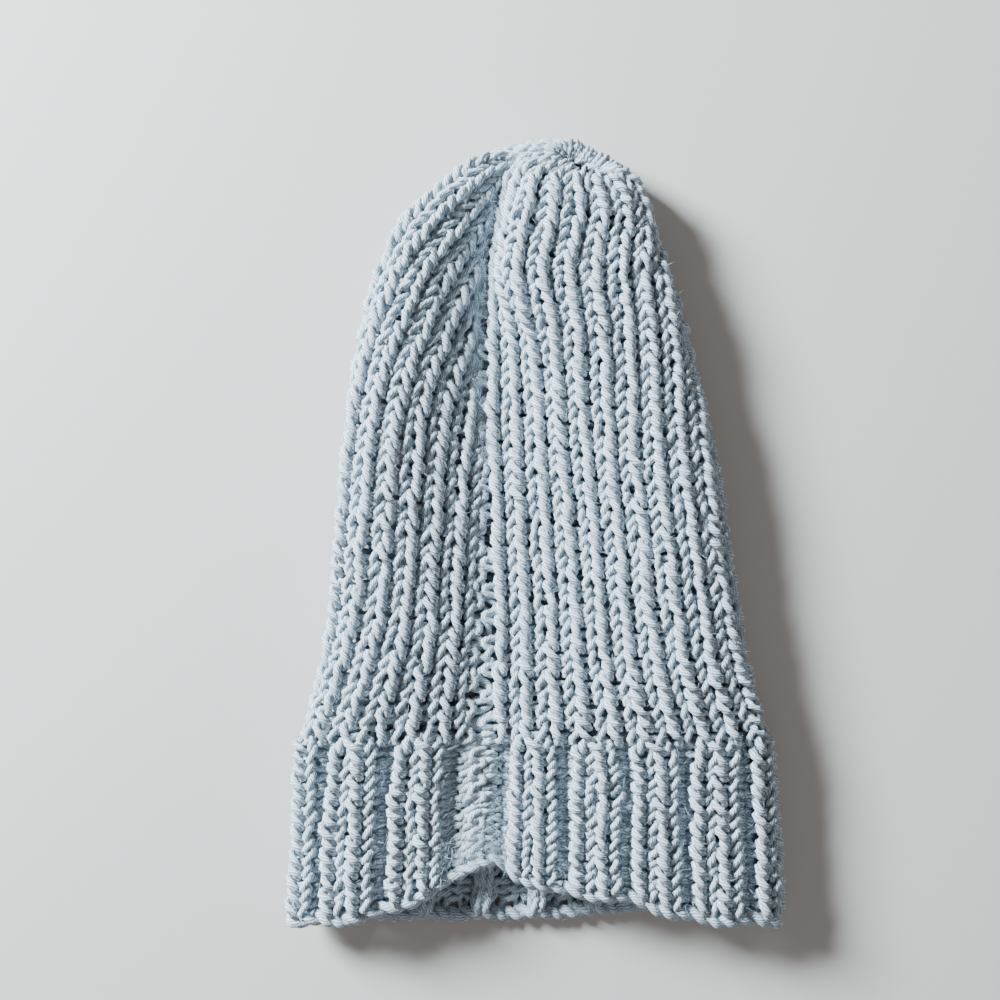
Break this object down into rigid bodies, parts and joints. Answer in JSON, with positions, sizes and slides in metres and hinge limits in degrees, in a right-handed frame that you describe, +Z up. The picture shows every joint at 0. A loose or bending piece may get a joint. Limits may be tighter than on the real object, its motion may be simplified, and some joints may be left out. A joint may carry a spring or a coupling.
{
  "type": "ribbed slouchy knitted beanie",
  "caption": "Slouchy hand-knitted beanie lying flat: plain-knit body, ribbed band, centre-front seam fold and drawn-in crown.",
  "frame": {"origin": "on the surface that the cap rests on, under the middle of its outline", "axes": "+Y from the hem towards the crown, +Z up through the front layer, +X to the right seen from the front"},
  "size_m": [0.1742, 0.2743, 0.025],
  "materials": {
    "body": "matt light blue-grey plied yarn in plain knit",
    "brim": "matt light blue-grey plied yarn in rib",
    "cast_on_edge": "matt light blue-grey plied yarn in a chain edge",
    "seam": "matt light blue-grey sewing yarn",
    "crown_tie": "matt light blue-grey drawn-up yarn"
  },
  "bodies": {
    "root": {"body": "body", "brim": "brim", "cast_on_edge": "cast_on_edge", "seam": "seam", "crown_tie": "crown_tie"}
  },
  "joints": []
}
